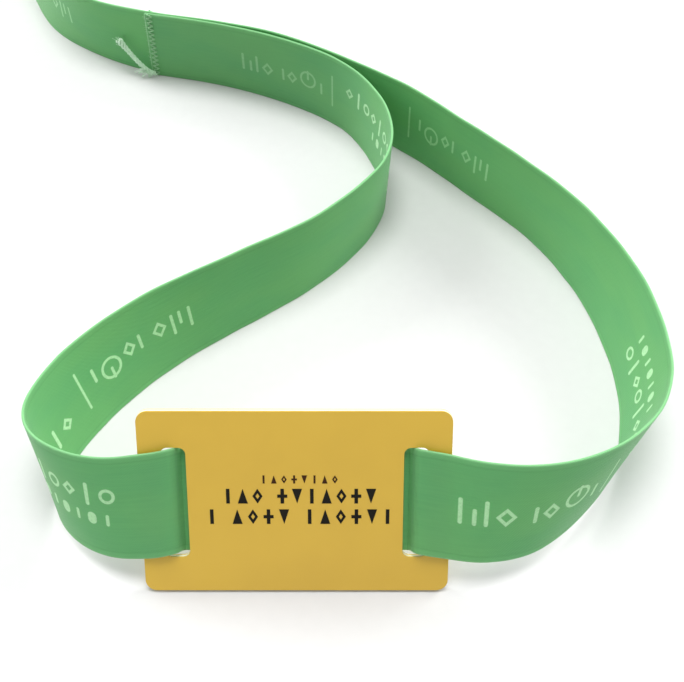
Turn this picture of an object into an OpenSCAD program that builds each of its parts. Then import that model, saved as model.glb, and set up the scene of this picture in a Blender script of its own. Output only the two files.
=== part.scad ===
// Slide-on tag with a contactless chip, threaded on a woven ribbon band.
// Millimetres. +Z is up, +X runs along the tag, +Y points away from its front.
// The origin is on the standing surface, under the middle of the tag.

/* [Tag] */
// Length of the tag along the ribbon
tag_w = 42; // [40:0.5:48]
// Height of the tag, across the ribbon
tag_h = 27; // [26:0.5:28]
// Radius of the tag's outer corners
tag_corner_r = 1.6; // [0.8:0.1:2.2]
// How far the tag leans back from upright, in degrees
tag_lean = 31; // [28:1:34]
// Thickness of each clear outer film
film_t = 0.08; // [0.06:0.01:0.1]
// Thickness of each printed core sheet
core_t = 0.14; // [0.12:0.01:0.16]
// Thickness of the middle sheet that holds the wire and the chip
inlay_t = 0.40; // [0.38:0.01:0.42]

/* [Ribbon slots] */
// Distance between the inner edges of the two slots
slot_gap = 29.2; // [28.6:0.1:29.4]
// Width of each slot, along the tag
slot_w = 3.4; // [3.2:0.1:3.8]
// Length of each slot, across the tag
slot_len = 16.5; // [16.4:0.1:17]
// Radius of the slot's corners
slot_r = 1; // [0.6:0.1:1.2]

/* [Ribbon] */
// Width of the woven ribbon
ribbon_w = 15.8; // [14:0.2:15.8]
// Thickness of the woven ribbon
ribbon_t = 0.4; // [0.3:0.05:0.5]

/* [Seam] */
// Diameter of the sewing thread
thread_d = 0.3; // [0.2:0.05:0.4]
// Number of zigzag stitches across the ribbon
stitch_count = 28; // [14:1:32]
// Width of the zigzag, along the ribbon
stitch_w = 1.1; // [0.8:0.1:1.5]
// Diameter of the thread that hangs loose from the seam
loose_d = 1; // [0.4:0.1:1.2]

/* [Wire and chip] */
// Turns of wire in the coil
coil_turns = 5; // [3:1:6]
// Distance from one turn to the next
coil_pitch = 0.4; // [0.35:0.05:0.5]
// Thickness of the wire
wire_t = 0.1; // [0.08:0.01:0.1]
// Length of the chip's metal carrier
carrier_w = 8; // [7:0.5:9]
// Width of the chip's metal carrier
carrier_h = 5; // [4:0.5:5.5]
// Length of the chip's moulded cap
mould_w = 5; // [4:0.5:5.5]
// Width of the chip's moulded cap
mould_h = 4.6; // [3.5:0.1:4.8]

/* [Print] */
// Thickness of the raised ink
ink_t = 0.03; // [0.02:0.01:0.05]
// Height of the small top row's marks
small_mark = 1.2; // [1:0.1:1.4]
// Height of the two bold rows' marks
bold_mark = 2.2; // [1.8:0.1:2.4]

/* [Hidden] */
$fn = 48;

tag_t = 2 * film_t + 2 * core_t + inlay_t;
tag_mid_z = tag_h / 2 * cos(tag_lean) + tag_t / 2 * sin(tag_lean);
slot_x = slot_gap / 2 + slot_w / 2;
front_core_z = inlay_t / 2;
front_film_z = front_core_z + core_t;
front_face_z = front_film_z + film_t;

// The wire lies low in the inlay, the carrier flush with its front.
coil_w = slot_gap - 3;
coil_h = tag_h - 3;
coil_z = -0.15;
bridge_z = 0;
carrier_t = 0.1;
carrier_z = inlay_t / 2 - carrier_t;
mould_t = 0.2;
chip_y = -4;
ear_x = (carrier_w + mould_w) / 4;

// Rows of print: height above the tag's middle, pitch of the marks, marks in each group
small_row = [3.6, 1.37, [8]];
upper_row = [1.1, 2, [3, 7]];
lower_row = [-2, 2.12, [1, 4, 6]];
group_gap = 1.35;
print_x = 0.55;
mark_ratio = 0.62;
mark_stroke = 0.22;
diamond_hole = 0.4;

// The zigzag lies just inside the sewn end, and the two layers there are this far apart
seam_inset = 0.9;
lap_gap = 0.28;

// Where the ribbon lies: its lower edge, then how far its upper edge leans in x and y.
// From the sewn end, round the bends, through both slots, back behind the sewn end and past it.
route = [
    [-33, 111.2, 0, 0.4, -1.6],
    [-18, 107.3, 0, 0, -1.3],
    [-4, 101, 0, -0.3, -0.4],
    [7, 92.7, 0, 0.2, 0.2],
    [12.8, 81.2, 0, 1.2, 0.3],
    [14.3, 72, 0, 0.8, -0.8],
    [11.1, 62.4, 0, 0.3, -0.3],
    [2, 51.1, 0, -0.3, 0.6],
    [-10.2, 41.6, 0, -0.9, 1.8],
    [-21.3, 32.8, 0, -2.4, 2.5],
    [-29.7, 23, 0, -3.9, 2.9],
    [-34.5, 14.5, 0, -3.9, 2.3],
    [-35.8, 7, 0.4, -2.6, 3.8],
    [-32.6, 0.7, 1.9, -1.4, 5.4],
    [-26.8, -3.8, 3.8, -0.3, 6.8],
    [-20.3, -5, 5.25, 0, 8.1],
    [-16.7, -4.65, 5.85, 0, 8.1],
    [-15.5, -3.35, 4.65, 0, 8.1],
    [-12.5, -3.35, 4.65, 0, 8.1],
    [12.5, -3.35, 4.65, 0, 8.1],
    [15.5, -3.35, 4.65, 0, 8.1],
    [16.7, -4.65, 5.85, 0, 8.1],
    [20.3, -5, 5.25, 0, 8.1],
    [26.5, -5.3, 4.5, 0.3, 6.9],
    [33, -3.3, 3.7, 1.4, 4.8],
    [39.5, 2.2, 2.2, 3.2, 2.6],
    [45, 9, 0.9, 4.7, 1.7],
    [48.7, 16, 0.2, 4.8, 1],
    [50.4, 25.5, 0, 4.6, 0],
    [49.8, 37, 0, 3.8, 0.5],
    [46.6, 49.5, 0, 2.2, 0.6],
    [40.4, 61.9, 0, 0.5, 0.2],
    [28.8, 75.4, 0, 0.1, 0.1],
    [16.3, 88.2, 0, 0, 0],
    [-3.5, 101.8, 0, 0, -0.3],
    [-18, 108.1, 0, 0, -1.3],
    [-33, 111.9, 0, 0.4, -1.6],
    [-46, 118.4, 0, -0.7, -2.1],
    [-57.2, 128.4, 0, 0.8, 0.6],
    [-66, 147, 0, 1, 0.8]
];
route_steps = 2;

// Where the loose thread lies, from the foot of the seam
thread_route = [
    [-32.6, 110.5, 0.7],
    [-33.6, 109.9, 1.6],
    [-35.4, 110.2, 3.4],
    [-37.4, 111, 5.7],
    [-39.2, 111.8, 7.9]
];
thread_steps = 3;

// Catmull-Rom curve through b and c
function curve(a, b, c, d, t) =
    0.5 * (2 * b + (c - a) * t + (2 * a - 5 * b + 4 * c - d) * t * t
    + (3 * b - a - 3 * c + d) * t * t * t);
function held(list, i) = list[max(0, min(len(list) - 1, i))];
function smooth(list, steps) = concat(
    [for (i = [0 : len(list) - 2]) for (k = [0 : steps - 1])
        curve(held(list, i - 1), list[i], list[i + 1], held(list, i + 2), k / steps)],
    [list[len(list) - 1]]
);
function unit(v) = v / norm(v);
function total(list, n) = n == 0 ? 0 : list[n - 1] + total(list, n - 1);

// The ribbon's edges and its facing direction at one station
function low(s) = [s[0], s[1], s[2]];
function rise(s) = [s[3], s[4], sqrt(pow(ribbon_w, 2) - pow(s[3], 2) - pow(s[4], 2))];
function middle(s) = low(s) + rise(s) / 2;
function facing(list, i) =
    unit(cross(middle(held(list, i + 1)) - middle(held(list, i - 1)), rise(list[i])));
function ribbon_ring(list, i) = let (
    out = facing(list, i) * ribbon_t / 2,
    foot = low(list[i]),
    head = foot + rise(list[i])
) [foot + out, foot - out, head - out, head + out];

// A ring of the thread's tube
function thread_ring(list, i, sides) = let (
    along = unit(held(list, i + 1) - held(list, i - 1)),
    across = unit(cross(along, [0, 1, 0])),
    over = cross(along, across)
) [for (k = [0 : sides - 1])
    list[i] + loose_d / 2 * (cos(360 * k / sides) * across + sin(360 * k / sides) * over)];

// Closed skin over a list of rings
module skin(rings) {
    n = len(rings[0]);
    last = (len(rings) - 1) * n;
    sides = [for (i = [0 : len(rings) - 2]) for (k = [0 : n - 1])
        let (a = i * n + k, b = i * n + (k + 1) % n) each [[a, b, b + n], [a, b + n, a + n]]];
    caps = [[for (k = [n - 1 : -1 : 0]) k], [for (k = [0 : n - 1]) last + k]];
    polyhedron(points = [for (r = rings) each r], faces = concat(sides, caps), convexity = 10);
}

// Puts a piece drawn flat, with its front up, in the leaning tag's place
module on_tag() {
    translate([0, 0, tag_mid_z]) rotate([90 - tag_lean, 0, 0]) children();
}

module rounded(w, h, r) {
    square([w - 2 * r, h], center = true);
    square([w, h - 2 * r], center = true);
    for (x = [-1, 1]) for (y = [-1, 1])
        translate([x * (w / 2 - r), y * (h / 2 - r)]) circle(r);
}

module tag_outline() {
    difference() {
        rounded(tag_w, tag_h, tag_corner_r);
        for (side = [-1, 1]) translate([side * slot_x, 0]) rounded(slot_w, slot_len, slot_r);
    }
}

module tag_layer(z, t) {
    on_tag() translate([0, 0, z]) linear_extrude(t) tag_outline();
}

// Straight square wire from one flat point to another, or a post where they are the same
module wire(from, to, z, top) {
    low_end = [min(from.x, to.x), min(from.y, to.y)];
    span = [abs(to.x - from.x), abs(to.y - from.y)];
    translate([low_end.x - wire_t / 2, low_end.y - wire_t / 2, z])
        cube([span.x + wire_t, span.y + wire_t, top - z]);
}

// Corner k of the square spiral, which runs inwards from its outer end
function coil_corner(k) = let (
    turn = floor(k / 4),
    x = coil_w / 2 - turn * coil_pitch,
    y = coil_h / 2 - turn * coil_pitch
) k % 4 == 0 ? [-x - coil_pitch, y] : k % 4 == 1 ? [x, y] : k % 4 == 2 ? [x, -y] : [-x, -y];

module coil_wire() {
    outer_end = coil_corner(0);
    inner_end = coil_corner(4 * coil_turns);
    left_ear = [-ear_x, chip_y];
    right_ear = [ear_x, chip_y];
    coil_top = coil_z + wire_t;
    for (k = [0 : 4 * coil_turns - 1]) wire(coil_corner(k), coil_corner(k + 1), coil_z, coil_top);
    // The inner end runs to the right ear and rises to it
    wire(inner_end, [ear_x, inner_end.y], coil_z, coil_top);
    wire([ear_x, inner_end.y], right_ear, coil_z, coil_top);
    wire(right_ear, right_ear, coil_z, carrier_z);
    // The outer end rises and crosses over the turns to the left ear
    wire(outer_end, outer_end, coil_z, carrier_z);
    wire(outer_end, [outer_end.x, chip_y], bridge_z, carrier_z);
    wire([outer_end.x, chip_y], left_ear, bridge_z, carrier_z);
}

module carrier_plate() {
    translate([-carrier_w / 2, chip_y - carrier_h / 2, carrier_z])
        cube([carrier_w, carrier_h, carrier_t]);
}

module mould_cap() {
    translate([-mould_w / 2, chip_y - mould_h / 2, carrier_z - mould_t])
        cube([mould_w, mould_h, mould_t]);
}

module diamond(w, h) {
    polygon([[-w / 2, 0], [0, -h / 2], [w / 2, 0], [0, h / 2]]);
}

// One printed mark of this height: bar, triangle, open diamond, cross or triangle on its point
module mark(kind, h) {
    w = h * mark_ratio;
    stroke = h * mark_stroke;
    if (kind == 0) square([stroke, h], center = true);
    if (kind == 1) polygon([[-w / 2, -h / 2], [w / 2, -h / 2], [0, h / 2]]);
    if (kind == 2) difference() {
        diamond(w, h);
        diamond(w * diamond_hole, h * diamond_hole);
    }
    if (kind == 3) {
        square([w, stroke], center = true);
        square([stroke, h], center = true);
    }
    if (kind == 4) polygon([[-w / 2, h / 2], [w / 2, h / 2], [0, -h / 2]]);
}

// A centred row of marks in groups, given as [height on the tag, pitch, marks in each group]
module mark_row(row, h) {
    count = total(row[2], len(row[2]));
    span = (count - 1) * row[1] + (len(row[2]) - 1) * group_gap;
    on_tag() translate([print_x - span / 2, row[0], front_face_z]) linear_extrude(ink_t)
        for (g = [0 : len(row[2]) - 1]) for (k = [0 : row[2][g] - 1])
            let (i = total(row[2], g) + k)
                translate([i * row[1] + g * group_gap, 0]) mark(i % 5, h);
}

// Round rod between two points
module rod(from, to, d) {
    way = to - from;
    translate(from) rotate([0, acos(way.z / norm(way)), atan2(way.y, way.x)])
        cylinder(d = d, h = norm(way), $fn = 16);
}

// Zigzag stitches over the ribbon's sewn end, this far in front of its middle
module zigzag(depth) {
    way = unit(middle(route[1]) - middle(route[0]));
    for (k = [0 : stitch_count - 1]) {
        side = k % 2 == 0 ? 1 : -1;
        start = low(route[0]) + rise(route[0]) * (k + 0.6) / (stitch_count + 0.6)
            + way * (seam_inset - side * stitch_w / 2) + facing(route, 0) * depth;
        rod(start, start + way * side * stitch_w + rise(route[0]) * 0.45 / stitch_count, thread_d);
    }
}

module front_film() { color("gold", 0.9) tag_layer(front_film_z, film_t); }
module front_core() { color("goldenrod") tag_layer(front_core_z, core_t); }
module rear_core() { color("goldenrod") tag_layer(-front_film_z, core_t); }
module rear_film() { color("gold", 0.9) tag_layer(-front_face_z, film_t); }
module inlay_sheet() {
    color("white") on_tag() difference() {
        translate([0, 0, -inlay_t / 2]) linear_extrude(inlay_t) tag_outline();
        coil_wire();
        carrier_plate();
        mould_cap();
    }
}
module antenna_coil() { color("peru") on_tag() coil_wire(); }
module chip_carrier() { color("silver") on_tag() carrier_plate(); }
module chip_mould() { color("dimgray") on_tag() mould_cap(); }
module ink_small_row() { color("black") mark_row(small_row, small_mark); }
module ink_upper_row() { color("black") mark_row(upper_row, bold_mark); }
module ink_lower_row() { color("black") mark_row(lower_row, bold_mark); }
module ribbon() {
    stations = smooth(route, route_steps);
    color("mediumseagreen") skin([for (i = [0 : len(stations) - 1]) ribbon_ring(stations, i)]);
}
module seam_stitches() {
    color("palegreen") {
        zigzag(ribbon_t / 2 + thread_d / 2);
        zigzag(-ribbon_t * 3 / 2 - lap_gap - thread_d / 2);
    }
}
module loose_thread() {
    points = smooth(thread_route, thread_steps);
    color("honeydew") skin([for (i = [0 : len(points) - 1]) thread_ring(points, i, 8)]);
}

front_film();
front_core();
inlay_sheet();
antenna_coil();
chip_carrier();
chip_mould();
rear_core();
rear_film();
ink_small_row();
ink_upper_row();
ink_lower_row();
ribbon();
seam_stitches();
loose_thread();
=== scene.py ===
"""Looks for a slide-on tag with a contactless chip on its woven ribbon band.

The tag's layers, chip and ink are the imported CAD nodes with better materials.
The ribbon, its seam and the loose thread are detailed meshes that stand in the CAD parts' places.
Lengths are millimetres, and MM turns them into Blender's metres. The lights are set in metres.
"""

import math
import random

import bpy
import numpy as np
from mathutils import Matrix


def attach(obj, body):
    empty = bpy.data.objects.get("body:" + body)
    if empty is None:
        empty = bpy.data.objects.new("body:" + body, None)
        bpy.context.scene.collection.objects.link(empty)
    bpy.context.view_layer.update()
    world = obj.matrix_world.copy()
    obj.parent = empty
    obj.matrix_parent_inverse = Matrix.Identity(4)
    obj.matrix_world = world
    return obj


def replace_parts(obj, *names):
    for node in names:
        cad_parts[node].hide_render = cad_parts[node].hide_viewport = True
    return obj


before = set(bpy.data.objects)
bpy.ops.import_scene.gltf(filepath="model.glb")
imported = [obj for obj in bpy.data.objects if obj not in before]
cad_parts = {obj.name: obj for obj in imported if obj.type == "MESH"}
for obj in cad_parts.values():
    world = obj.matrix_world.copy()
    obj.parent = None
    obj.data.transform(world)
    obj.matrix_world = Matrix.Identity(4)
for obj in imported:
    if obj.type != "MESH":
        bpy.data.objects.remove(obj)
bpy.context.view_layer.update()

MM = 0.001
SEED = 7

# The camera's place and its angle below level
CAMERA_AT = (6.3, -79.2, 140.4)
CAMERA_PITCH = 50.05
CAMERA_LENS = 57.9
SENSOR = 36

# Half the tag's length, and the y past which the ribbon is clear of the tag
TAG_HALF = 21
TAG_CLEAR = 5

# Ribbon section: width, thickness, rounding of its edges, and the woven border along each edge
RIBBON_W = 15.8
RIBBON_T = 0.4
EDGE_ROUND = 0.2
BORDER_W = 1.0
BORDER_RISE = 0.01
GROOVE_DEPTH = 0.012
GROOVE_W = 0.12
# Distance from one ring of the mesh to the next
RING_STEP = 0.6
# Heights of the lengthwise rows near each edge, then the step between the rows further in
EDGE_ROWS = [0, 0.03, 0.08, 0.14, 0.2, 0.45, 0.75, 0.88, 0.94, 1.0, 1.06, 1.12, 1.25, 1.6]
INNER_ROW = 2.2
ROW_STEP = 1.0
# How far along the ribbon its bends are eased, and how far its free edges flutter
EASE = 3.0
FLUTTER = 0.05

# Weave: pitch of the ribs and of the floats, depth of the relief, share of light let through
RIB_PITCH = 0.34
FLOAT_PITCH = 0.27
WEAVE_DEPTH = 0.012
LET_THROUGH = 0.22

# Gap between the ribbon's two layers at the seam, and the zigzag that joins them
LAP_GAP = 0.28
THREAD_D = 0.3
STITCH_COUNT = 28
STITCH_W = 1.1
SEAM_INSET = 0.9
# How far above the ribbon's foot the first stitch starts, as a share of a stitch's height
SEAM_MARGIN = 0.6
# Points along one stitch, and the step that the smooth curve through them takes
STITCH_POINTS = 10
STITCH_STEP = 0.08
# How far the middle of a stitch stands out of the cloth, as a share of the thread's width,
# then a ply's radius, also as a share of it, and the length of one turn of the twist
STITCH_PROUD = 0.4
STITCH_PLY = 0.27
STITCH_PITCH = 0.9

# The loose thread's width, its ply and its twist in the same way, and how far its plies spread
LOOSE_D = 1.0
LOOSE_PLY = 0.23
LOOSE_PITCH = 2.4
LOOSE_SPREAD = 0.3
# Radius of the fibres along the thread and on the ribbon's ends, and at the thread's foot
FINE_FIBRE = 0.03
COARSE_FIBRE = 0.05

# Where the ribbon lies: its lower edge, then how far its upper edge leans in x and y.
# From the sewn end, round the bends, through both slots, back behind the sewn end and past it.
ROUTE = [
    [-33, 111.2, 0, 0.4, -1.6],
    [-18, 107.3, 0, 0, -1.3],
    [-4, 101, 0, -0.3, -0.4],
    [7, 92.7, 0, 0.2, 0.2],
    [12.8, 81.2, 0, 1.2, 0.3],
    [14.3, 72, 0, 0.8, -0.8],
    [11.1, 62.4, 0, 0.3, -0.3],
    [2, 51.1, 0, -0.3, 0.6],
    [-10.2, 41.6, 0, -0.9, 1.8],
    [-21.3, 32.8, 0, -2.4, 2.5],
    [-29.7, 23, 0, -3.9, 2.9],
    [-34.5, 14.5, 0, -3.9, 2.3],
    [-35.8, 7, 0.4, -2.6, 3.8],
    [-32.6, 0.7, 1.9, -1.4, 5.4],
    [-26.8, -3.8, 3.8, -0.3, 6.8],
    [-20.3, -5, 5.25, 0, 8.1],
    [-16.7, -4.65, 5.85, 0, 8.1],
    [-15.5, -3.35, 4.65, 0, 8.1],
    [-12.5, -3.35, 4.65, 0, 8.1],
    [12.5, -3.35, 4.65, 0, 8.1],
    [15.5, -3.35, 4.65, 0, 8.1],
    [16.7, -4.65, 5.85, 0, 8.1],
    [20.3, -5, 5.25, 0, 8.1],
    [26.5, -5.3, 4.5, 0.3, 6.9],
    [33, -3.3, 3.7, 1.4, 4.8],
    [39.5, 2.2, 2.2, 3.2, 2.6],
    [45, 9, 0.9, 4.7, 1.7],
    [48.7, 16, 0.2, 4.8, 1],
    [50.4, 25.5, 0, 4.6, 0],
    [49.8, 37, 0, 3.8, 0.5],
    [46.6, 49.5, 0, 2.2, 0.6],
    [40.4, 61.9, 0, 0.5, 0.2],
    [28.8, 75.4, 0, 0.1, 0.1],
    [16.3, 88.2, 0, 0, 0],
    [-3.5, 101.8, 0, 0, -0.3],
    [-18, 108.1, 0, 0, -1.3],
    [-33, 111.9, 0, 0.4, -1.6],
    [-46, 118.4, 0, -0.7, -2.1],
    [-57.2, 128.4, 0, 0.8, 0.6],
    [-66, 147, 0, 1, 0.8],
]

# Where the loose thread lies, from the foot of the seam
THREAD_ROUTE = [
    [-32.6, 110.5, 0.7],
    [-33.6, 109.9, 1.6],
    [-35.4, 110.2, 3.4],
    [-37.4, 111, 5.7],
    [-39.2, 111.8, 7.9],
]

# Length of one repeat of the print and the place of the long bar in it,
# then where along the ribbon the repeats start and where their long bars stand
PRINT_REPEAT = 98.6
PRINT_BAR = 21.5
PRINT_STARTS = (19.7, 115.5, 217.5, 315.4, 413.8)
PRINT_BARS = (40.7, 137.5, 242.3, 335.4)
# How far the print is carried on at its own length past the first and last of those
PRINT_PAST = 50
# Along the ribbon, where its print stops being worn and where it is worn again
WORN_NEAR = (42, 48)
WORN_FAR = (305, 312)

# The table's half width and the point the lights face, in metres, as are the lights' places.
# Each light is a disk of this width, with its power in watts.
FLOOR_HALF = 1.5
LIGHTS_FACE = (0, 0.04, 0)
LIGHT_SIZE = 0.6
LIGHTS = {
    "overhead": ((0.0, 0.15, 1.1), 9.5),
    "back_left": ((-0.9, 0.6, 0.6), 10.5),
    "back_right": ((0.9, 0.6, 0.6), 13.0),
}
WORLD_STRENGTH = 0.56


def unit(v):
    return v / np.linalg.norm(v, axis=-1, keepdims=True)


def smooth(points, step):
    """Points about a step apart on the smooth curve through a list of points, ends held."""
    points = np.array(points, float)
    made = []
    for i in range(len(points) - 1):
        a, b, c, d = (points[min(max(i + k, 0), len(points) - 1)] for k in (-1, 0, 1, 2))
        count = max(2, math.ceil(np.linalg.norm((c - b)[:3]) / step))
        for t in np.arange(count) / count:
            made.append(
                0.5
                * (
                    2 * b
                    + (c - a) * t
                    + (2 * a - 5 * b + 4 * c - d) * t**2
                    + (3 * b - a - 3 * c + d) * t**3
                )
            )
    return np.array(made + [points[-1]])


def ease(stations):
    """Stations averaged with their neighbours, except at the tag and the ribbon's two ends."""
    along = lengths(stations[:, :3])
    weight = np.exp(-(((along[:, None] - along[None]) / EASE) ** 2)) * np.gradient(along)
    eased = weight @ stations / weight.sum(axis=1, keepdims=True)
    past_tag = np.maximum(np.abs(stations[:, 0]) - TAG_HALF, stations[:, 1] - TAG_CLEAR)
    from_end = np.minimum(along, along[-1] - along)
    free = np.clip(np.minimum(past_tag, from_end) / (2 * EASE), 0, 1)[:, None]
    return stations + (eased - stations) * free


def lengths(points):
    """How far along a line each of its points is."""
    return np.concatenate([[0], np.cumsum(np.linalg.norm(np.diff(points, axis=0), axis=1))])


def new_piece(name, points, faces, material):
    """A smooth-shaded mesh object in the scene, from points in millimetres."""
    mesh = bpy.data.meshes.new(name)
    mesh.from_pydata((np.asarray(points) * MM).tolist(), [], [list(map(int, f)) for f in faces])
    mesh.update()
    mesh.shade_smooth()
    mesh.materials.append(material)
    piece = bpy.data.objects.new(name, mesh)
    bpy.context.scene.collection.objects.link(piece)
    return piece


# ---------------------------------------------------------------- materials


def srgb(red, green, blue):
    """A colour as a screen shows it, from 0 to 255, as the shader wants it."""
    return (
        *(
            c / 12.92 if c <= 0.04045 else ((c + 0.055) / 1.055) ** 2.4
            for c in (red / 255, green / 255, blue / 255)
        ),
        1.0,
    )


class Look:
    """A material's nodes. A value is a number, a tuple of numbers or another node's output."""

    def __init__(self, name, **uniform):
        self.material = bpy.data.materials.new(name)
        self.material.use_nodes = True
        self.tree = self.material.node_tree
        self.shader = self.tree.nodes["Principled BSDF"]
        for socket, value in uniform.items():
            self.shader.inputs[socket.replace("_", " ")].default_value = value

    def put(self, socket, value):
        if isinstance(value, bpy.types.NodeSocket):
            self.tree.links.new(value, socket)
        else:
            socket.default_value = value

    def node(self, kind, inputs=(), **settings):
        node = self.tree.nodes.new(kind)
        for key, value in settings.items():
            setattr(node, key, value)
        for key, value in dict(inputs).items():
            self.put(node.inputs[key], value)
        return node

    def math(self, operation, *values):
        inputs = dict(enumerate(values))
        return self.node("ShaderNodeMath", inputs, operation=operation).outputs[0]

    def vector(self, operation, *values):
        node = self.node("ShaderNodeVectorMath", dict(enumerate(values)), operation=operation)
        single = operation in ("LENGTH", "DOT_PRODUCT")
        return node.outputs["Value" if single else "Vector"]

    def join(self, x, y):
        return self.node("ShaderNodeCombineXYZ", {"X": x, "Y": y}).outputs[0]

    def fade(self, value, start, end, low=0.0, high=1.0):
        """low where value is under start, high where it is over end, and smooth between."""
        inputs = {"Value": value, 1: start, 2: end, 3: low, 4: high}
        return self.node("ShaderNodeMapRange", inputs, interpolation_type="SMOOTHSTEP").outputs[0]

    def mix(self, factor, a, b):
        """Colour a where factor is 0, and colour b where it is 1."""
        return self.node("ShaderNodeMix", {0: factor, 6: a, 7: b}, data_type="RGBA").outputs[2]

    def noise(self, where, scale, detail=3.0):
        """Soft patches. The scale is one number, or one for each direction."""
        if isinstance(scale, tuple):
            where, scale = self.vector("MULTIPLY", where, scale), 1.0
        inputs = {"Vector": where, "Scale": scale, "Detail": detail}
        return self.node("ShaderNodeTexNoise", inputs).outputs["Fac"]

    def shine(self, colour, roughness, height, depth):
        """Joins the colour, roughness and a relief of this depth in millimetres to the shader."""
        self.put(self.shader.inputs["Base Color"], colour)
        self.put(self.shader.inputs["Roughness"], roughness)
        bump = self.node("ShaderNodeBump", {"Height": height, "Distance": depth * MM})
        self.put(self.shader.inputs["Normal"], bump.outputs[0])
        return self.material

    def let_through(self, colour, share):
        """Lets this share of the light through, as thin cloth does."""
        through = self.node("ShaderNodeBsdfTranslucent", {"Color": colour})
        both = self.node("ShaderNodeMixShader", {0: share, 2: through.outputs[0]})
        self.put(both.inputs[1], self.shader.outputs[0])
        self.put(self.tree.nodes["Material Output"].inputs["Surface"], both.outputs[0])
        return self.material

    def place(self):
        """Where a point of the object is, in millimetres."""
        where = self.node("ShaderNodeTexCoord").outputs["Object"]
        return self.vector("MULTIPLY", where, (1 / MM, 1 / MM, 1 / MM))


def print_marks():
    """The generic repeat printed on the ribbon: kind, centre x, y, half width, half height."""
    marks = [("bar", 0.5, 0, 0.26, 2), ("bar", 2.2, -0.7, 0.26, 1.3), ("bar", 3.6, 0, 0.26, 2)]
    marks += [("diamond", 6, -0.5, 1.3, 1.5), ("bar", 9.6, -0.6, 0.26, 1.4)]
    marks += [("diamond", 11.7, -0.6, 1.2, 1.4), ("ring", 15.5, 0.2, 1.9, 1.9)]
    marks += [("bar", 15.5, 1.2, 0.24, 1.1), ("bar", 18.7, -0.7, 0.26, 1.3)]
    marks += [("bar", PRINT_BAR, 0, 0.2, 3.6)]
    for k in range(9):
        kind, half_w = (("diamond", 1.15), ("bar", 0.3), ("ring", 1.15))[k % 3]
        marks.append((kind, 26.4 + 3 * k, 1.9, half_w, 1.8 if kind == "bar" else 1.15))
    for k in range(7):
        marks.append(("bar", 35.8 + 2.4 * k, -1.9, 0.7 if k % 2 else 0.26, 0.95 if k % 2 else 0.9))
    return marks


def print_mask(look, along, across):
    """1 where the ribbon is printed, from the place in the print and up from the foot."""
    stroke, soft = 0.23, 0.07
    x = look.math("FLOORED_MODULO", along, PRINT_REPEAT)
    spot = look.join(x, look.math("SUBTRACT", across, RIBBON_W / 2))
    printed = 0.0
    for kind, cx, cy, half_w, half_h in print_marks():
        off = look.vector("ABSOLUTE", look.vector("SUBTRACT", spot, (cx, cy, 0)))
        if kind == "bar":
            r = min(half_w, half_h)
            off = look.vector("SUBTRACT", off, (half_w - r, half_h - r, 0))
            gap = look.vector("LENGTH", look.vector("MAXIMUM", off, (0, 0, 0)))
            half = r
        else:
            if kind == "ring":
                out, reach = look.vector("LENGTH", off), half_w - stroke
            else:
                slant = math.hypot(1 / half_w, 1 / half_h)
                normal = (1 / half_w / slant, 1 / half_h / slant, 0)
                out, reach = look.vector("DOT_PRODUCT", off, normal), 1 / slant - stroke
            gap = look.math("ABSOLUTE", look.math("SUBTRACT", out, reach))
            half = stroke
        mark = look.fade(gap, half - soft, half + soft, 1.0, 0.0)
        printed = look.math("MAXIMUM", printed, mark)
    return printed


def ribbon_cloth():
    """Thin satin ribbon: fine ribs, warp streaks, painted edge highlights and a pale print."""
    look = Look("ribbon_cloth", Sheen_Weight=0.2, Sheen_Roughness=0.4, Specular_IOR_Level=0.3)
    weave = look.node("ShaderNodeAttribute", attribute_name="weave").outputs["Vector"]
    parts = look.node("ShaderNodeSeparateXYZ", {0: weave}).outputs
    along, across, print_along = parts[0], parts[1], parts[2]

    # Colour: broad patches, thin streaks along the warp, a faint border and painted edge
    # highlights
    patches = look.noise(weave, (0.05, 0.12, 0))
    streaks = look.noise(weave, (0.12, 5, 0))
    colour = look.mix(look.fade(patches, 0.35, 0.65), srgb(106, 176, 108), srgb(97, 171, 108))
    colour = look.mix(look.fade(streaks, 0.3, 0.7, 0.0, 0.25), colour, srgb(120, 190, 120))
    from_middle = look.math("ABSOLUTE", look.math("SUBTRACT", across, RIBBON_W / 2))
    from_edge = look.math("SUBTRACT", RIBBON_W / 2, from_middle)
    border = look.fade(from_edge, BORDER_W * 0.5, BORDER_W, 0.12, 0.0)
    colour = look.mix(border, colour, srgb(140, 204, 142))
    groove = look.math("ABSOLUTE", look.math("SUBTRACT", from_edge, BORDER_W))
    colour = look.mix(look.fade(groove, 0.05, 0.2, 0.15, 0.0), colour, srgb(74, 136, 82))
    # Painted highlight: the colour turns paler within 0.4 mm of each edge
    colour = look.mix(look.fade(from_edge, 0.1, 0.4, 0.45, 0.0), colour, srgb(150, 210, 152))

    # Print, patchy all along, and worn over the ribbon's first and last stretches
    wear = look.fade(look.noise(weave, (2.5, 2.5, 0), 2.0), 0.25, 0.55, 0.72, 1.0)
    near_worn = look.fade(along, *WORN_NEAR, 0.45, 1.0)
    far_worn = look.fade(along, *WORN_FAR, 1.0, 0.6)
    fresh = look.math("MULTIPLY", look.math("MINIMUM", near_worn, far_worn), wear)
    mask = look.math("MULTIPLY", print_mask(look, print_along, across), fresh)
    colour = look.mix(mask, colour, srgb(186, 234, 182))

    # Relief: ribs across, floats along. The print is a little smoother than the cloth
    ribs = look.math("SINE", look.math("MULTIPLY", along, 2 * math.pi / RIB_PITCH))
    floats = look.math("SINE", look.math("MULTIPLY", across, 2 * math.pi / FLOAT_PITCH))
    lift = look.math("MULTIPLY", streaks, 1.5)
    height = look.math("ADD", look.math("MULTIPLY", ribs, floats), lift)
    cloth = look.fade(streaks, 0.3, 0.7, 0.52, 0.6)
    roughness = look.math("SUBTRACT", cloth, look.math("MULTIPLY", mask, 0.08))
    look.shine(colour, roughness, height, WEAVE_DEPTH)
    return look.let_through(look.mix(0.5, colour, srgb(170, 235, 165)), LET_THROUGH)


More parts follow.
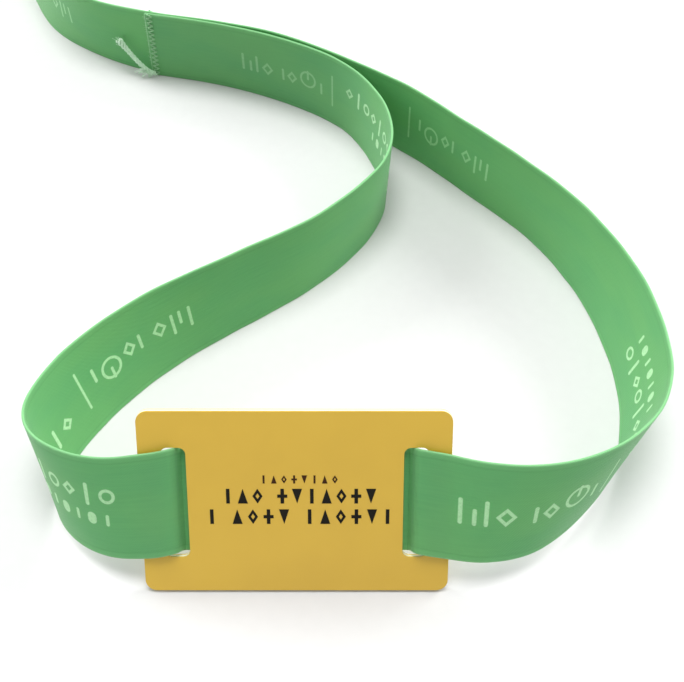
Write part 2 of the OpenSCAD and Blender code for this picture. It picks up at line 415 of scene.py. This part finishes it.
def thread_look(name, pale, dark, fineness):
    """Spun thread: fine fibres, in paler and darker patches."""
    look = Look(name, Sheen_Weight=0.4, Specular_IOR_Level=0.3)
    where = look.place()
    fibres = look.noise(where, (fineness, fineness, fineness))
    broad = look.noise(where, 0.6, 2.0)
    colour = look.mix(look.fade(fibres, 0.3, 0.7), dark, pale)
    colour = look.mix(look.fade(broad, 0.35, 0.65, 0.0, 0.3), colour, pale)
    return look.shine(colour, look.fade(fibres, 0.3, 0.7, 0.6, 0.75), fibres, 0.03)


def sheet_look(name, base, shade, roughness, depth, scale, **uniform):
    """Plastic sheet: faint cloudiness in its colour and a fine pressed grain."""
    look = Look(name, **uniform)
    where = look.place()
    clouds = look.noise(where, 0.06)
    grain = look.noise(where, scale)
    colour = look.mix(look.fade(clouds, 0.3, 0.7), base, shade)
    rough = look.fade(grain, 0.3, 0.7, roughness - 0.05, roughness + 0.05)
    return look.shine(colour, rough, grain, depth)


def drawn_metal(name, base, shade, scale):
    """Metal with fine lines in the direction in which the scale is small."""
    look = Look(name, Metallic=1.0)
    lines = look.noise(look.place(), scale)
    colour = look.mix(look.fade(lines, 0.3, 0.7), base, shade)
    return look.shine(colour, look.fade(lines, 0.3, 0.7, 0.25, 0.4), lines, 0.004)


def paint(nodes, material):
    """Gives CAD nodes a material in place of their own."""
    for name in nodes:
        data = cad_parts[name].data
        data.materials.clear()
        data.materials.append(material)


# ---------------------------------------------------------------- ribbon


class Lie:
    """How the ribbon lies: for each ring, its foot, the way up it and the way it faces."""

    def __init__(self):
        stations = ease(smooth(ROUTE, RING_STEP))
        lean = stations[:, 3:5]
        height = np.sqrt(RIBBON_W**2 - (lean**2).sum(axis=1))
        self.foot = stations[:, :3]
        self.up = np.column_stack([lean, height]) / RIBBON_W
        self.middle = self.foot + self.up * RIBBON_W / 2
        self.travel = unit(np.gradient(self.middle, axis=0))
        self.facing = unit(np.cross(self.travel, self.up))
        self.along = lengths(self.middle)

    def at(self, along, across, out):
        """The point this far along the ribbon, up it and out of its face.

        Before the ribbon's start, its line is carried straight on.
        """

        def held(values):
            return np.array([np.interp(along, self.along, values[:, k]) for k in range(3)])

        start = held(self.foot) + self.travel[0] * min(along, 0)
        return start + held(self.up) * across + held(self.facing) * out


def half_thickness(across):
    """Half the ribbon's thickness at a height up it, with its border and rounded edges."""
    from_edge = np.minimum(across, RIBBON_W - across)
    rounded = np.sqrt(1 - (1 - np.minimum(from_edge / EDGE_ROUND, 1)) ** 2)
    border = BORDER_RISE * np.clip((BORDER_W - from_edge) / 0.2, 0, 1)
    groove = GROOVE_DEPTH * np.exp(-(((from_edge - BORDER_W) / GROOVE_W) ** 2))
    return (RIBBON_T / 2 + border - groove) * rounded


def print_place(along):
    """Where in the repeating print each place along the ribbon is."""
    marks = [(s, k * PRINT_REPEAT) for k, s in enumerate(PRINT_STARTS)]
    marks += [(s, k * PRINT_REPEAT + PRINT_BAR) for k, s in enumerate(PRINT_BARS)]
    on_ribbon, in_print = np.array(sorted(marks)).T
    on_ribbon = [on_ribbon[0] - PRINT_PAST, *on_ribbon, on_ribbon[-1] + PRINT_PAST]
    in_print = [in_print[0] - PRINT_PAST, *in_print, in_print[-1] + PRINT_PAST]
    return np.interp(along, on_ribbon, in_print)


def make_ribbon(lie, material):
    """One long thin mesh: rings of points round the section, and a closed end at each end."""
    inner_count = round((RIBBON_W - 2 * INNER_ROW) / ROW_STEP) + 1
    inner = np.linspace(INNER_ROW, RIBBON_W - INNER_ROW, inner_count)
    across = np.concatenate([EDGE_ROWS, inner, RIBBON_W - np.array(EDGE_ROWS[::-1])])
    half = half_thickness(across)
    rows = len(across)
    # The ring runs up the printed face and down the other
    ring_across = np.concatenate([across, across[-2:0:-1]])
    ring_out = np.concatenate([half, -half[-2:0:-1]])
    n, rings = len(ring_across), len(lie.foot)

    # A slight flutter of the free edges. Beside the tag it grows from x = 22.5 to x = 52.5.
    # It is full from y = 20 and stops at y = 95, before the seam
    free = np.clip(np.abs(lie.foot[:, 0]) / 30 - 0.75, 0, 1) + (lie.foot[:, 1] > 20)
    free = np.clip(free, 0, 1) * (lie.foot[:, 1] < 95)
    flutter = free[:, None] * np.outer(
        np.sin(lie.along / 3.1) + 0.6 * np.sin(lie.along / 1.37 + 1),
        (ring_across / RIBBON_W - 0.5) ** 3 * 8,
    ) * FLUTTER
    points = (
        lie.foot[:, None]
        + lie.up[:, None] * ring_across[None, :, None]
        + lie.facing[:, None] * (ring_out[None, :] + flutter)[..., None]
    )

    i, j = np.meshgrid(np.arange(rings - 1), np.arange(n), indexing="ij")
    k = (j + 1) % n
    quads = np.stack([i * n + j, i * n + k, (i + 1) * n + k, (i + 1) * n + j], axis=-1)
    faces = quads.reshape(-1, 4).tolist()
    # Each end is closed by a strip from the printed face's rows to the other's.
    # The two faces share the lowest and the highest row, so the strip ends in triangles
    for ring, turn in ((0, -1), (rings - 1, 1)):
        for low in range(rows - 1):
            high = low + 1
            cap = [low, high, high if high == rows - 1 else n - high, (n - low) % n]
            cap = list(dict.fromkeys(cap))
            faces.append([ring * n + v for v in cap[::turn]])
    points = points.reshape(-1, 3)
    piece = new_piece("ribbon_cloth", points, faces, material)

    # Where each corner is on the cloth: along, up as its face reads, and in the print
    front = j < rows - 1
    up_at = np.stack([ring_across[j], ring_across[k]], axis=-1)
    up_at = np.where(front[..., None], up_at, RIBBON_W - up_at)
    up_at = np.stack([up_at[..., 0], up_at[..., 1], up_at[..., 1], up_at[..., 0]], axis=-1)
    ring_at = np.stack([i, i, i + 1, i + 1], axis=-1)
    values = np.stack([lie.along[ring_at], up_at, print_place(lie.along)[ring_at]], axis=-1)
    values = values.reshape(-1, 3)
    capped = np.zeros((len(piece.data.loops) - len(values), 3))
    attribute = piece.data.attributes.new("weave", "FLOAT_VECTOR", "CORNER")
    attribute.data.foreach_set("vector", np.concatenate([values, capped]).ravel())
    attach(piece, "band")
    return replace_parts(piece, "ribbon")


# ---------------------------------------------------------------- thread


def carried_frames(path):
    """Two directions square to a path at each point, without any twist along it."""
    way = unit(np.gradient(path, axis=0))
    side = np.cross(way[0], (0.3, 0.5, 0.8))
    across = []
    for w in way:
        side = unit(side - w * side.dot(w))
        across.append(side)
    across = np.array(across)
    return across, np.cross(way, across)


class Tubes:
    """Round strands, gathered into one mesh."""

    def __init__(self):
        self.points, self.faces = [], []

    def add(self, path, radius, sides=8):
        """A closed tube along a path. The radius is one number, or one for each point."""
        across, over = carried_frames(path)
        radius = np.broadcast_to(radius, len(path))
        turn = 2 * math.pi * np.arange(sides) / sides
        ring = across[:, None] * np.cos(turn)[None, :, None]
        ring = ring + over[:, None] * np.sin(turn)[None, :, None]
        start = len(self.points)
        self.points += list((path[:, None] + ring * radius[:, None, None]).reshape(-1, 3))
        for i in range(len(path) - 1):
            for k in range(sides):
                a, b = start + i * sides + k, start + i * sides + (k + 1) % sides
                self.faces.append((a, b, b + sides, a + sides))
        self.faces.append([start + k for k in range(sides)][::-1])
        self.faces.append([len(self.points) - sides + k for k in range(sides)])

    def twist(self, path, radius, plies, pitch, open_end=0.0):
        """Plies twisted round a path. They spread by open_end over its last third."""
        across, over = carried_frames(path)
        along = lengths(path)
        # Two plies touch at their radius from the path, and three a little further out
        spread = radius * (1 if plies == 2 else 1.15)
        loose = np.clip(along / along[-1] * 3 - 2, 0, 1) ** 1.5 * open_end
        for ply in range(plies):
            turn = 2 * math.pi * (along / pitch + ply / plies)
            off = across * np.cos(turn)[:, None] + over * np.sin(turn)[:, None]
            self.add(path + off * (spread + loose)[:, None], radius)

    def piece(self, name, material, slot):
        return new_piece(name, self.points, self.faces, material)


def zigzag_path(lie, depth, outward):
    """The thread of one side of the seam: over the cloth from hole to hole, into each hole."""
    points = []
    for k in range(STITCH_COUNT):
        side = 1 if k % 2 == 0 else -1
        low = RIBBON_W * (k + SEAM_MARGIN) / (STITCH_COUNT + SEAM_MARGIN)
        high = low + RIBBON_W / (STITCH_COUNT + SEAM_MARGIN)
        for t in np.arange(STITCH_POINTS) / STITCH_POINTS:
            along = SEAM_INSET + side * STITCH_W * (t - 0.5)
            # Level over most of the stitch, and nearly a thread's width down at the holes
            lift = THREAD_D * (min(1, 3.2 * math.sin(math.pi * t)) - 1) * 0.9
            points.append(lie.at(along, low + (high - low) * t, depth + outward * lift))
    return np.array(points)


def make_stitches(lie, material):
    """A two-ply zigzag on each side of the seam, sunk a little into the cloth."""
    tubes = Tubes()
    front = RIBBON_T / 2 + THREAD_D * STITCH_PROUD
    back = -RIBBON_T * 1.5 - LAP_GAP - THREAD_D * STITCH_PROUD
    for depth, outward in ((front, 1), (back, -1)):
        path = smooth(zigzag_path(lie, depth, outward), STITCH_STEP)
        tubes.twist(path, THREAD_D * STITCH_PLY, 2, STITCH_PITCH)
    piece = tubes.piece("seam_stitching", material, "seam_thread")
    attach(piece, "band")
    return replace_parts(piece, "seam_stitches")


def make_loose_thread(material):
    """Three plies that open at the tip, with fine fibres along them and coarser at the foot."""
    draw = random.Random(SEED)
    tubes = Tubes()
    path = smooth(THREAD_ROUTE, 0.12)
    tubes.twist(path, LOOSE_D * LOOSE_PLY, 3, LOOSE_PITCH, LOOSE_SPREAD)
    for _ in range(60):
        start = path[draw.randrange(len(path))] + [draw.uniform(-0.3, 0.3), -0.1, 0]
        reach = unit(path[-1] - path[0]) * draw.uniform(0.5, 1.6)
        reach = reach + [draw.uniform(-0.5, 0.5), draw.uniform(-0.4, 0), draw.uniform(-0.5, 0.5)]
        tubes.add(smooth([start, start + reach * 0.5, start + reach], 0.3), FINE_FIBRE, 4)
    for _ in range(70):
        start = path[draw.randrange(len(path) // 4)] + [draw.uniform(-0.8, 0.7), -0.1, 0]
        reach = np.array([draw.uniform(-2, 0.8), draw.uniform(-0.8, -0.1), draw.uniform(-0.6, 1)])
        bend = start + reach * 0.5 + [0, -0.1, draw.uniform(0, 0.4)]
        tip = start + reach
        tip[2] = max(tip[2], 0.1)
        tubes.add(smooth([start, bend, tip], 0.15), COARSE_FIBRE, 5)
    piece = tubes.piece("loose_thread_tail", material, "loose_fibre")
    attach(piece, "band")
    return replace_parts(piece, "loose_thread")


def make_cut_ends(lie, material):
    """The bead that the hot cut leaves on each end of the ribbon, with fibres that stand out."""
    draw = random.Random(SEED + 1)
    tubes = Tubes()
    for place, way in ((0.0, -1), (lie.along[-1], 1)):
        rows = np.arange(0.12, RIBBON_W - 0.1, 0.25)
        bead = [lie.at(place, a, draw.uniform(-0.03, 0.03)) for a in rows]
        radius = [RIBBON_T * draw.uniform(0.46, 0.58) for _ in rows]
        radius[0] = radius[-1] = RIBBON_T * 0.3
        tubes.add(np.array(bead), np.array(radius), 10)
        for _ in range(22):
            up = draw.uniform(0.3, RIBBON_W - 0.3)
            start = lie.at(place, up, draw.uniform(-0.1, 0.1))
            travel = lie.travel[0 if way < 0 else -1] * way
            reach = travel * draw.uniform(0.25, 0.8) + np.array([0, 0, draw.uniform(-0.3, 0.3)])
            tip = start + reach
            tip[2] = max(tip[2], 0.05)
            tubes.add(smooth([start, start + reach * 0.6, tip], 0.15), FINE_FIBRE, 5)
    piece = tubes.piece("cut_ends", material, "ribbon_cloth")
    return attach(piece, "band")


# ---------------------------------------------------------------- camera, cord, looks, stage

camera = bpy.data.objects.new("camera", bpy.data.cameras.new("camera"))
camera.data.lens = CAMERA_LENS
camera.data.sensor_width = SENSOR
camera.data.clip_start = 0.005
camera.location = [c * MM for c in CAMERA_AT]
camera.rotation_euler = (math.radians(90 - CAMERA_PITCH), 0, 0)
bpy.context.scene.collection.objects.link(camera)
bpy.context.scene.camera = camera

lie = Lie()
ribbon = make_ribbon(lie, ribbon_cloth())
stitches = make_stitches(
    lie, thread_look("seam_thread", srgb(160, 212, 160), srgb(118, 176, 122), 9)
)
loose_thread = make_loose_thread(
    thread_look("loose_fibre", srgb(214, 238, 214), srgb(160, 204, 164), 9)
)
cut_ends = make_cut_ends(
    lie, thread_look("melted_edge", srgb(150, 208, 150), srgb(104, 168, 108), 6)
)

paint(
    ["front_film", "rear_film"],
    sheet_look("tag_film", srgb(215, 177, 62), srgb(209, 171, 60), 0.42, 0.006, 3.0,
               Coat_Weight=0.2, Coat_Roughness=0.3, Specular_IOR_Level=0.4),
)
paint(
    ["front_core", "rear_core"],
    sheet_look("tag_core", srgb(220, 190, 98), srgb(210, 178, 86), 0.55, 0.01, 5.0),
)
paint(["inlay_sheet"], sheet_look("inlay", srgb(232, 226, 200), srgb(222, 214, 182), 0.6, 0.01, 4))
paint(
    ["antenna_coil"],
    drawn_metal("copper_wire", srgb(205, 130, 92), srgb(176, 100, 66), (1, 1, 20)),
)
paint(
    ["chip_carrier"],
    drawn_metal("chip_metal", srgb(205, 206, 204), srgb(176, 178, 178), (0.6, 12, 12)),
)
paint(["chip_mould"], sheet_look("chip_resin", srgb(40, 40, 42), srgb(28, 28, 30), 0.5, 0.01, 8))
paint(
    ["ink_small_row"],
    sheet_look("ink_brown", srgb(70, 40, 14), srgb(54, 32, 12), 0.6, 0.004, 9,
               Specular_IOR_Level=0.15),
)
paint(
    ["ink_upper_row", "ink_lower_row"],
    sheet_look("ink_black", srgb(28, 26, 18), srgb(20, 18, 13), 0.6, 0.004, 9,
               Specular_IOR_Level=0.15),
)


def light(name, at, power):
    data = bpy.data.lights.new(name, "AREA")
    data.shape = "DISK"
    data.size = LIGHT_SIZE
    data.energy = power
    lamp = bpy.data.objects.new(name, data)
    lamp.location = at
    way = np.array(LIGHTS_FACE) - np.array(at)
    level = math.hypot(way[0], way[1])
    lamp.rotation_euler = (math.atan2(level, -way[2]), 0, math.atan2(way[1], way[0]) - math.pi / 2)
    bpy.context.scene.collection.objects.link(lamp)


def make_floor():
    """A wide, flat, white table top."""
    look = Look("table")
    grain = look.noise(look.place(), 0.5)
    look.shine(look.mix(grain, srgb(203, 203, 203), srgb(207, 207, 207)), 0.7, grain, 0.01)
    half = FLOOR_HALF / MM
    points = [(x * half, y * half, 0) for x in (-1, 1) for y in (-1, 1)]
    floor = new_piece("table", points, [(0, 2, 3, 1)], look.material)


make_floor()
for name, (at, power) in LIGHTS.items():
    light(name, at, power)

world = bpy.data.worlds.new("studio")
world.use_nodes = True
background = world.node_tree.nodes["Background"]
background.inputs["Color"].default_value = (1, 1, 1, 1)
background.inputs["Strength"].default_value = WORLD_STRENGTH
bpy.context.scene.world = world
bpy.context.scene.view_settings.view_transform = "Standard"
